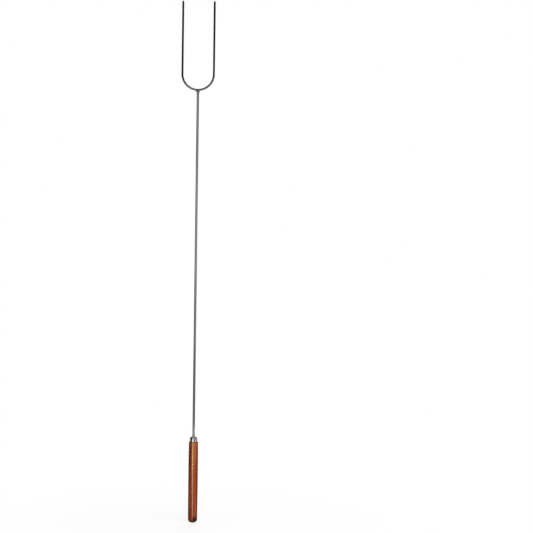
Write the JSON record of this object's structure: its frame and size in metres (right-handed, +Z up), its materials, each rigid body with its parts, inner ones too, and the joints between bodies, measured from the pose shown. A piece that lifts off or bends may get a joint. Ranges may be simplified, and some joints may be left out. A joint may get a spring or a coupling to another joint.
{
  "type": "marshmallow roasting fork",
  "caption": "Long-handled camp roasting fork: a U of steel wire with pointed tines, welded on a straight plated rod held in a turned wooden handle with a pressed metal ferrule.",
  "frame": {"origin": "on the rod's axis, at the middle of the handle's straight grip", "axes": "+Z runs up along the rod from the handle to the tines' points, X runs across the two tines, -Y is the front; the fork is held upright by its handle"},
  "size_m": [0.0668, 0.0188, 1.0414],
  "materials": {
    "stained_wood": "red-brown stain under clear lacquer, fine straight grain",
    "ferrule_plate": "bright plated pressed steel",
    "plated_rod": "bright plated drawn wire, faint lengthwise draw lines",
    "plated_wire": "bright plated drawn wire, ground points",
    "weld_metal": "plated weld bead, slightly lumpy"
  },
  "bodies": {
    "root": {"handle": "stained_wood", "ferrule": "ferrule_plate", "rod": "plated_rod", "tine_fork": "plated_wire", "weld_bead": "weld_metal"}
  },
  "joints": []
}
